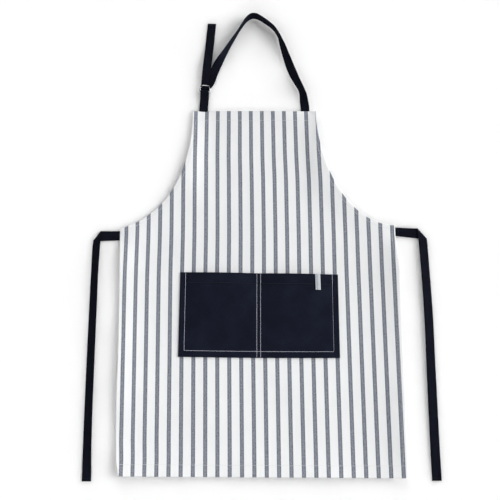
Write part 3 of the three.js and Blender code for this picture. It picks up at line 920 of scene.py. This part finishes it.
def tape_through(name, sections, stands_for, doubled=None):
    """A length of tape through its sections: each is the points at its two edges and the way its face looks.
    doubled is the stretch, in millimetres along it, where its end is folded over and sewn down."""
    points, weave = [], []
    run = 0.0
    before = None
    half = TAPE["thickness"] / 2
    for one, two, face in sections:
        middle = (one + two) / 2
        if before is not None:
            run += (middle - before).length
        before = middle
        extra = 0.0
        if doubled:
            extra = float(smooth((run - doubled[0]) / 0.8) * smooth((doubled[1] - run) / 0.8))
        top = [(share, half * form * (1 + 0.9 * extra)) for share, form in zip(SHARES, EDGE_FORM)]
        bottom = [(share, -half * form) for share, form in zip(SHARES, EDGE_FORM)][::-1]
        for share, out in top + bottom:
            points.append(one.lerp(two, share) + face * out)
            weave.append((run, share * TAPE["width"]))
    faces = tube_faces(2 * len(SHARES), len(sections))
    return new_piece(name, points, faces, NAVY_TAPE, stands_for, weave)


def blend_at(piece, still, moving):
    """Bakes the piece's placement into its points; it bends nothing, and the places still and moving have no
    effect.
    """
    (still_x, still_y), (moving_x, moving_y) = still, moving
    still_x * MM
    still_y * MM
    moving_x * MM
    moving_y * MM
    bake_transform(piece)


def blend_loop_at(piece, x):
    blend_at(piece, (x, HINGE_Y - 2), (x, HINGE_Y + 3))


def rolled_sections(route, count):
    """Sections along a route of x, y and roll in degrees, the lower edge resting on the table."""
    line = through(route, count)
    sections = []
    for (x, y, roll), (fx, fy) in zip(line, directions(line[:, :2])):
        roll = math.radians(roll)
        across = Vector((-fy * math.cos(roll), fx * math.cos(roll), math.sin(roll)))
        face = Vector((fx, fy, 0)).cross(across)
        height = TAPE["width"] * abs(math.sin(roll)) + TAPE["thickness"] * abs(math.cos(roll))
        middle = Vector((x, y, height / 2))
        aside = across * TAPE["width"] / 2
        sections.append((middle - aside, middle + aside, face))
    return sections


TAB_LEAN = Matrix.Rotation(-math.radians(TAB["lean"]), 4, "Z")
TAB_FRAME = Matrix.Translation((TAB["x"], TAB["y"], 0)) @ TAB_LEAN


def folded_sections(line, shift=0.0):
    """Sections on the tab's own line, from points of length along it and height, moved aside by shift."""
    line = np.asarray(line, float)
    shift = np.broadcast_to(shift, len(line))
    turn = TAB_FRAME.to_3x3()
    half = TAPE["width"] / 2
    sections = []
    for aside, (y, z), (fy, fz) in zip(shift, line, directions(line)):
        one, two = (TAB_FRAME @ Vector((x, y, z)) for x in (aside - half, aside + half))
        sections.append((one, two, turn @ Vector((0, -fz, fy))))
    return sections


def arc(y, z, radius, start, end, steps):
    """Points round a centre, from one angle to another in degrees."""
    angles = [math.radians(start + (end - start) * i / steps) for i in range(steps + 1)]
    return [(y + radius * math.cos(angle), z + radius * math.sin(angle)) for angle in angles]


def make_tab():
    """Out from under the hem, up round the rings' straight bars and back down to the hem."""
    half = TAPE["thickness"] / 2
    top = OUTER_BAR + RING["wire"] / 2 + SLACK + half
    radius = (top - half) / 2
    middle = TAB["bars"] - 0.4
    back = 3 * half + SLACK
    stations = [
        (middle, top, 0), (middle - 4, top - 0.3, 0), (38, back + 1.8, 0),
        (30, back + 0.3, 0), (22, back, 0), (0, back, 0)
    ]
    down = through(stations, 40)
    line = [(y, half) for y in np.linspace(-SEWN_UNDER, middle - 2, 50)]
    line += arc(middle, half + radius, radius, -90, 90, 16) + [(y, z) for y, z, _ in down[1:]]
    made = tape_through("ring_tab_tape", folded_sections(line), ["ring_tab", "ring_tab_sewn_end"])
    blend_loop_at(made, TAB["x"])
    ends = [TAB_FRAME @ Vector((x, 6, back + half + 0.05)) for x in TAPE_ROW]
    row_across("ring_tab_stitching", ends, "neck_loop")
    return made


# x, height above the bib and how far the strap is rolled up on its outer edge, in degrees
NECK_ROUTE = [
    (-121.6, 66.5, 0), (-118.6, 70, 0),
    (-113.6, 76, 0), (-108.5, 89, 2), (-101.6, 107.5, 9), (-93.6, 123, 26), (-87.2, 133, 44),
    (-78.3, 147.4, 61), (-69, 162.9, 72), (-59.4, 178.5, 79), (-49.7, 194.2, 86), (-40.1, 210.1, 90),
    (-30.5, 225.5, 88), (-19.5, 240, 83), (-8, 247.6, 76), (3, 247.6, 76), (13, 242.5, 79),
    (25.2, 233.6, 80), (38.5, 223, 82), (48, 212.8, 82), (55.2, 201.5, 82), (60, 191.6, 78),
    (65.4, 175.5, 64), (70.5, 160, 52), (75.3, 144.4, 44), (80.5, 129, 35), (85.8, 113.6, 27),
    (91.9, 97.7, 25), (98.5, 80.9, 38), (106, 65, 50), (110.7, 55, 54), (114.2, 45, 49),
    (116.8, 33, 34), (118.5, 19.5, 14),
]


def make_neck_strap():
    """From the turn round the inner ring, round the neck and down to its sewn end under the bib's hem."""
    route = [(x, BIB_TOP + y, roll) for x, y, roll in NECK_ROUTE]
    sewn = [(HINGE_Y + 6, 1), (HINGE_Y, 0), (HINGE_Y - SEWN_UNDER, 0)]
    route += [(STRAP_END_X, y, roll) for y, roll in sewn]
    half = TAPE["thickness"] / 2
    radius = (TAIL_HEIGHT - half) / 2
    centre = TAB["bars"] + RING["depth"] / 2
    turn = [(y, TAIL_HEIGHT) for y in np.linspace(TURN_END, centre + 1, 8)]
    turn += arc(centre, half + radius, radius, 90, 270, 16)
    # the tape comes up out of the turn with its width still square to the tab, then swings onto the route
    sections = [(two, one, face) for one, two, face in folded_sections(turn)]
    sections += rolled_sections(route, 260)
    made = tape_through("neck_strap_tape", sections, ["neck_strap", "neck_strap_sewn_end"])
    blend_loop_at(made, STRAP_END_X)
    return made


# the tail: its length, how far its end lies aside of the tab's line, the stretch folded over at its end, and
# the row of stitches that holds it: how far aside, how far back from the end and how high
TAIL = {"length": 163, "aside": 3.7, "doubled": 6, "stitches": (3.6, 5, 2.1)}
STRAP_ROLL = math.radians(17)  # of the strap where the tail crosses over it


def make_tail():
    """On from the strap's turn, over the strap's raised edge and down to the table beyond it."""
    start = TURN_END + 0.6
    end = start + TAIL["length"] + 2.4
    over = TAPE["width"] * math.sin(STRAP_ROLL) + 1.5 * TAPE["thickness"] + SLACK
    heights = [
        (TURN_END, TAIL_HEIGHT, 0), (start + 14, (TAIL_HEIGHT + over) / 2, 0), (start + 34, over, 0),
        (start + 50, over, 0), (start + 80, over * 0.45, 0), (start + 105, 1.2, 0), (end, 0.8, 0)
    ]
    line = through(heights, 120)[:, :2]
    shift = TAIL["aside"] * (line[:, 0] - TURN_END) / TAIL["length"]
    run = lengths(line)[-1]
    doubled = (run - TAIL["doubled"], run + 9)
    made = tape_through("strap_tail_tape", folded_sections(line, shift), ["strap_tail"], doubled)
    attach(made, "strap_tail")
    aside, back, level = TAIL["stitches"]
    ends = [TAB_FRAME @ Vector((aside + x, end - back, level)) for x in TAPE_ROW]
    row_across("strap_tail_stitching", ends, "strap_tail")
    return made


def ring_mesh(name, height, rise, body):
    """A D in round wire, its straight bar held by the tab."""
    reach, depth, foot, shoulder = RING["reach"], RING["depth"], RING["foot"], RING["shoulder"]
    half = [(0, 0)] + arc(reach - foot, foot, foot, -90, 0, 12)
    half += arc(reach - shoulder, depth - shoulder, shoulder, 0, 90, 20)
    path = evenly(half + [(-x, y) for x, y in reversed(half)], 0.6)[:-1]
    at = Matrix.Translation((0, TAB["bars"], height))
    place = TAB_FRAME @ at @ Matrix.Rotation(math.radians(rise), 4, "X")
    wire, around = RING["wire"] / 2, 20
    points, faces = [], []
    for before, here, after in zip(np.roll(path, 1, axis=0), path, np.roll(path, -1, axis=0)):
        forward = after - before
        forward /= np.linalg.norm(forward)
        for k in range(around):
            angle = math.tau * k / around
            out = wire * math.cos(angle)
            x, y = here[0] + forward[1] * out, here[1] - forward[0] * out
            points.append(place @ Vector((x, y, wire * math.sin(angle))))
    count = len(path)
    for i in range(count):
        for k in range(around):
            a, b = i * around + k, i * around + (k + 1) % around
            c, d = (i + 1) % count * around + (k + 1) % around, (i + 1) % count * around + k
            faces.append((a, d, c, b))
    made = new_piece(f"{name}_wire", points, faces, NICKEL, [name])
    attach(made, body)


# a tie comes out from the side hem level, between the heights of its leg, folds along its crease, whose upper
# end is nearer the apron, and drops as a route of x, y and roll
TIES = {
    -1: {
        "leg": (114.8, 136.4),
        "crease": ((-374.8, 137.9), (-393.2, 113.2)),
        "drop": [
            (-385.0, 101, 20), (-386.4, 60, 24), (-388.8, -52, 21), (-390.8, -170, 19),
            (-392.6, -300, 17), (-393.0, -395, 8), (-393.0, -420, 0),
        ],
    },
    1: {
        "leg": (115.2, 135.2),
        "crease": ((377.2, 131.6), (399.0, 104.8)),
        "drop": [
            (389.4, 101, -10), (390.4, 60, -13), (393.0, -63, -12), (392.2, -200, -9),
            (391.6, -330, -5), (391.6, -400, -2), (391.8, -421, 0),
        ],
    },
}


def make_tie(side):
    """The left tie is side -1 and the right one is side 1."""
    tie = TIES[side]
    name = "left_tie" if side < 0 else "right_tie"
    end = TIE_BOX[side][0][1]
    thick = TAPE["thickness"]
    level = thick / 2
    bottom, top = tie["leg"]
    high_end, low_end = (Vector((*corner, 0)) for corner in tie["crease"])
    up = Vector((0, 0, 1))
    sections = []
    # out from under the side hem to the diagonal fold, which the outgoing layer ends on
    start_x = side * (WAIST_HALF - 8.5)
    for share in np.linspace(0, 1, 44):
        one = Vector((start_x, bottom, level)).lerp(low_end + up * level, share)
        two = Vector((start_x, top, level)).lerp(high_end + up * level, share)
        sections.append((one, two, up))
    # round the fold
    crease = (low_end - high_end).normalized()
    out = Vector((-crease.y * side, crease.x * side, 0))
    radius = (thick + 0.1) / 2
    for angle in range(15, 181, 15):
        turn = math.radians(angle)
        shift = out * radius * math.sin(turn) + up * (radius * (1 - math.cos(turn)) + level)
        face = up * math.cos(turn) + out * math.sin(turn)
        sections.append((low_end + shift, high_end + shift, face))
    # below the fold the tape's first edge is its outer one and its face looks down
    end_x = tie["drop"][-1][0]
    for one, two, face in rolled_sections(tie["drop"] + [(end_x, end, 0)], 150):
        inner_edge, outer_edge = sorted((one, two), key=lambda edge: side * edge.x)
        sections.append((outer_edge, inner_edge, -face if face.z > 0 else face))
    made = tape_through(f"{name}_tape", sections, [name, f"{name}_sewn_end"])
    seam = side * WAIST_HALF
    blend_at(made, (seam - side, TIE_Y), (seam + side * 3.5, TIE_Y))
    ends = [(seam + side * 4.5, y, thick + 0.05) for y in (bottom + 1.5, top - 1.5)]
    row_across(f"{name}_stitching", ends, name)
    row_across(f"{name}_end_stitching", [(end_x + x, end + 6, thick + 0.4) for x in TAPE_ROW], name)
    return made


# ---- build ----

panel = make_panel()
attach(panel, "root")
make_panel_stitching()
pocket = make_pocket()
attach(pocket, "root")
make_pocket_stitching()
label = make_label()
ring_tab = make_tab()
ring_mesh("inner_ring", INNER_BAR, 0.0, "neck_loop")
ring_mesh("outer_ring", OUTER_BAR, OUTER_RISE, "outer_ring")
strap = make_neck_strap()
tail = make_tail()
left_tie = make_tie(-1)
right_tie = make_tie(1)


# ---- table, light and camera ----


def make_table():
    """A broad white board, a little milky, so that shadows on it are soft."""
    made = bpy.data.materials.new("white_table")
    made.use_nodes = True
    surface = made.node_tree.nodes["Principled BSDF"]
    surface.subsurface_method = "BURLEY"
    inputs = {
        "Base Color": (0.99, 0.99, 0.99, 1),
        "Roughness": 0.9,
        "Specular IOR Level": 0.1,
        "Subsurface Weight": 1.0,
        "Subsurface Radius": (1, 1, 1),
        "Subsurface Scale": 0.035,
    }
    for name, value in inputs.items():
        surface.inputs[name].default_value = value
    bpy.ops.mesh.primitive_plane_add(size=12, location=(0, 0, -0.0003))
    table = bpy.context.object
    table.name = "white_table_top"
    table.data.materials.append(made)
    return table


def make_light():
    world = bpy.data.worlds.new("pale_room")
    world.use_nodes = True
    background = world.node_tree.nodes["Background"]
    background.inputs["Color"].default_value = (1, 1, 1, 1)
    background.inputs["Strength"].default_value = 0.12
    bpy.context.scene.world = world
    for name, energy, toward in (
        ("right_window", 4.4, (0.8, 0.06, 0.3)),
        ("left_fill", 0.6, (-0.8, 0, 0.3)),
        ("bib_end_fill", 1.9, (0, 0.8, 0.3)),
        ("hem_end_fill", 1.2, (0, -0.8, 0.3)),
    ):
        sun = bpy.data.lights.new(name, "SUN")
        sun.energy = energy
        sun.angle = math.radians(40)
        holder = bpy.data.objects.new(name, sun)
        holder.rotation_euler = Vector(toward).to_track_quat("Z", "Y").to_euler()
        bpy.context.scene.collection.objects.link(holder)


def make_camera():
    lens = bpy.data.cameras.new("overhead")
    lens.lens = 50
    lens.sensor_width = 36
    camera = bpy.data.objects.new("overhead", lens)
    place = Matrix.Translation((0.03213, -0.20119, 1.62168))
    for angle, axis in ((0.175512, "X"), (0.030572, "Y"), (-0.015844, "Z")):
        place = place @ Matrix.Rotation(angle, 4, axis)
    camera.matrix_world = place
    bpy.context.scene.collection.objects.link(camera)
    bpy.context.scene.camera = camera


table = make_table()
make_light()
make_camera()
bpy.context.scene.view_settings.view_transform = "Standard"


# ---- bring the scene up to date ----

bpy.context.view_layer.update()
